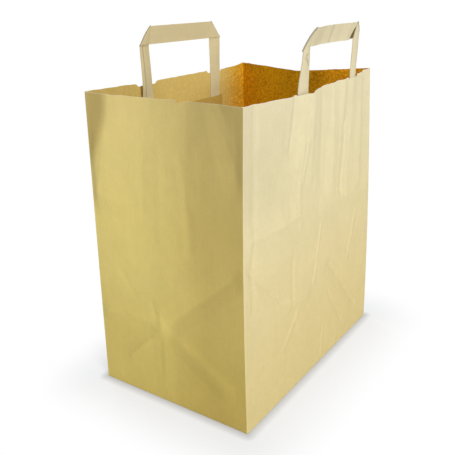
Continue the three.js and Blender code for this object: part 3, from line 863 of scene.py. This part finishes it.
def build_patch(name, handle, material, colour):
    """The paper glued over both legs of a handle, stepping up over each."""
    panel = handle["panel"]
    over_leg = STRIP + SEAT

    def stand(distance):
        near = min(abs(c - panel["handle"] - distance) for c in leg_centres(panel))
        flat = STRIP_WIDTH / 2 + PATCH_COLUMN
        return SEAT + over_leg * (1 - smooth(flat, flat + PATCH_RAMP, near))

    across = round(PATCH_WIDTH / PATCH_COLUMN)
    columns = [-PATCH_WIDTH / 2 + PATCH_WIDTH * i / across for i in range(across + 1)]
    top = HEIGHT - PATCH_DROP
    rows = [top - PATCH_HEIGHT + PATCH_HEIGHT * i / PATCH_ROWS for i in range(PATCH_ROWS + 1)]
    rings = []
    for distance in columns:
        front = [inside_point(panel, panel["handle"] + distance, z, stand(distance)) for z in rows]
        back = [inside_point(panel, panel["handle"] + distance, z, stand(distance) + PATCH_PAPER)
                for z in rows]
        rings.append(front + back[::-1])
    points, faces = loft(rings)
    obj = mesh_object(name, points, faces_out(points, faces), [material])
    paint(obj, [srgb(colour)] * len(points))
    return obj


bag = build_bag()
flap_points, flap_faces = build_flaps()
flaps = mesh_object("bottom_flaps", flap_points, flap_faces, [outside], smooth_angle=20)
paint(flaps, [OUTER_TONES[LEFT][0][1]] * len(flap_points))
front_handle = build_handle("front_handle_strip", HANDLES["front"], handle_pale, HANDLE_PALE)
back_handle = build_handle("back_handle_strip", HANDLES["back"], handle_tan, HANDLE_TAN)
front_patch = build_patch("front_patch_paper", HANDLES["front"], patch_paper, PATCH_TAN)
back_patch = build_patch("back_patch_paper", HANDLES["back"], patch_paper, PATCH_TAN)

for piece, nodes, slot in (
    (bag, ["bag_body"], "kraft_sheet"),
    (flaps, ["bag_body"], "kraft_sheet"),
    (front_handle, ["front_handle"], "handle_kraft_pale"),
    (back_handle, ["back_handle"], "handle_kraft_tan"),
    (front_patch, ["front_handle_patch"], "patch_kraft"),
    (back_patch, ["back_handle_patch"], "patch_kraft"),
):
    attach(piece, "root")
    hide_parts(*nodes)

# Stage: a white floor that keeps a faint shadow near the bag, partly real shadow and partly painted
# shadow, and is plain white farther off. Distances from the base's edges are in millimetres: how far
# the painted shadow along the line of contact reaches, and where the floor starts to fade and is white
PAINTED_CONTACT_SHADOW_REACH = 9
FADE_FROM = 3
FADE_TO = 75
# Strength of the glow seen near the bag, under white as painted shadow, and along the line of contact,
# where the painted shadow is darkest; and the world's light
FLOOR_LIGHT = 0.965
PAINTED_CONTACT_SHADOW_GLOW = 0.5
AMBIENT = 0.24


def seen_directly(material):
    """1 where a camera, mirror or glass ray looks, and 0 for light that bounces on."""
    rays = add_node(material, "ShaderNodeLightPath")
    first = add_node(material, "ShaderNodeMath", {"operation": "MAXIMUM"},
                     {0: rays.outputs["Is Camera Ray"], 1: rays.outputs["Is Glossy Ray"]})
    return add_node(material, "ShaderNodeMath", {"operation": "MAXIMUM"},
                    {0: first.outputs[0], 1: rays.outputs["Is Transmission Ray"]}).outputs[0]


def floor_material():
    """White paint to the light, and to whoever looks a glow that grows to plain white, dimmed near the
    base as painted shadow.
    """
    m = new_material("white_floor")
    painted = add_node(m, "ShaderNodeBsdfDiffuse", {"Color": (0.85, 0.85, 0.85, 1)})
    # how far a point is from the base's edges
    place = add_node(m, "ShaderNodeTexCoord").outputs["Object"]
    mirrored = add_node(m, "ShaderNodeVectorMath", {"operation": "ABSOLUTE"}, {0: place})
    past = add_node(m, "ShaderNodeVectorMath",
                    {"operation": "SUBTRACT", 1: (WIDTH / 2 * MM, DEPTH / 2 * MM, 0)},
                    {0: mirrored.outputs[0]})
    beyond = add_node(m, "ShaderNodeVectorMath", {"operation": "MAXIMUM", 1: (0, 0, 0)},
                      {0: past.outputs[0]})
    away = add_node(m, "ShaderNodeVectorMath", {"operation": "LENGTH"},
                    {0: beyond.outputs[0]}).outputs["Value"]
    # painted shadow: the glow is dimmed over the few millimetres along the base, where no light gets
    # under the bag
    contact = add_node(m, "ShaderNodeMapRange",
                       {1: 0.0, 2: PAINTED_CONTACT_SHADOW_REACH * MM, 3: PAINTED_CONTACT_SHADOW_GLOW, 4: FLOOR_LIGHT},
                       {"Value": away})
    glow = add_node(m, "ShaderNodeEmission", {"Color": (0.985, 0.995, 1.02, 1)},
                    {"Strength": contact.outputs[0]})
    near = add_node(m, "ShaderNodeMixShader", {0: 0.65}, {1: painted.outputs[0], 2: glow.outputs[0]})
    white = add_node(m, "ShaderNodeEmission", {"Color": (1, 1, 1, 1), "Strength": 1.0})
    fade = add_node(m, "ShaderNodeMapRange",
                    {"interpolation_type": "SMOOTHSTEP", 1: FADE_FROM * MM, 2: FADE_TO * MM,
                     3: 0.0, 4: 1.0},
                    {"Value": away})
    shown = add_node(m, "ShaderNodeMixShader", {},
                     {0: fade.outputs[0], 1: near.outputs[0], 2: white.outputs[0]})
    surface = add_node(m, "ShaderNodeMixShader", {},
                       {0: seen_directly(m), 1: painted.outputs[0], 2: shown.outputs[0]})
    add_node(m, "ShaderNodeOutputMaterial", {}, {"Surface": surface.outputs[0]})
    return m


bpy.ops.mesh.primitive_plane_add(size=8, location=(0, 0, -0.0002))
floor = bpy.context.object
floor.name = "floor"
floor.data.materials.append(floor_material())


# Lights: place and target in metres, size in metres, power in watts
def area_light(name, place, target, size, power):
    data = bpy.data.lights.new(name, "AREA")
    data.size = size
    data.energy = power
    obj = bpy.data.objects.new(name, data)
    obj.location = place
    obj.rotation_euler = (Vector(target) - Vector(place)).to_track_quat("-Z", "Y").to_euler()
    bpy.context.scene.collection.objects.link(obj)


area_light("key", (-1.9, -3.42, 2.24), (0, 0, 0.15), 1.3, 136)
area_light("top", (0.0, -0.1, 2.2), (0, 0, 0.1), 1.4, 9)
area_light("fill", (1.6, 2.6, 1.5), (0, 0, 0.15), 1.5, 30)

world = bpy.data.worlds.new("studio")
bpy.context.scene.world = world
world.use_nodes = True
world.node_tree.nodes.clear()
backdrop = add_node(world, "ShaderNodeBackground", {"Color": (1, 1, 1, 1), "Strength": 1.0})
ambient = add_node(world, "ShaderNodeBackground", {"Color": (1, 1, 1, 1), "Strength": AMBIENT})
chooser = add_node(world, "ShaderNodeMixShader", {},
                   {0: seen_directly(world), 1: ambient.outputs[0], 2: backdrop.outputs[0]})
add_node(world, "ShaderNodeOutputWorld", {}, {"Surface": chooser.outputs[0]})

# Camera, solved from the photo's perspective
camera_data = bpy.data.cameras.new("camera")
camera = bpy.data.objects.new("camera", camera_data)
bpy.context.scene.collection.objects.link(camera)
bpy.context.scene.camera = camera
camera_data.sensor_width = 36
camera_data.lens = 49.95
camera_data.clip_start = 0.01
CAMERA_DISTANCE = 0.62744
azimuth, elevation, roll = math.radians(-55.472), math.radians(20.735), math.radians(-1.128)
target = Vector((-0.03183, 0, 0.14775))
back_way = Vector((
    math.sin(azimuth) * math.cos(elevation),
    -math.cos(azimuth) * math.cos(elevation),
    math.sin(elevation),
))
camera.location = target + back_way * CAMERA_DISTANCE
turn = back_way.to_track_quat("Z", "Y").to_matrix().to_4x4() @ Matrix.Rotation(roll, 4, "Z")
camera.matrix_world = Matrix.Translation(camera.location) @ turn

bpy.context.scene.view_settings.view_transform = "Standard"
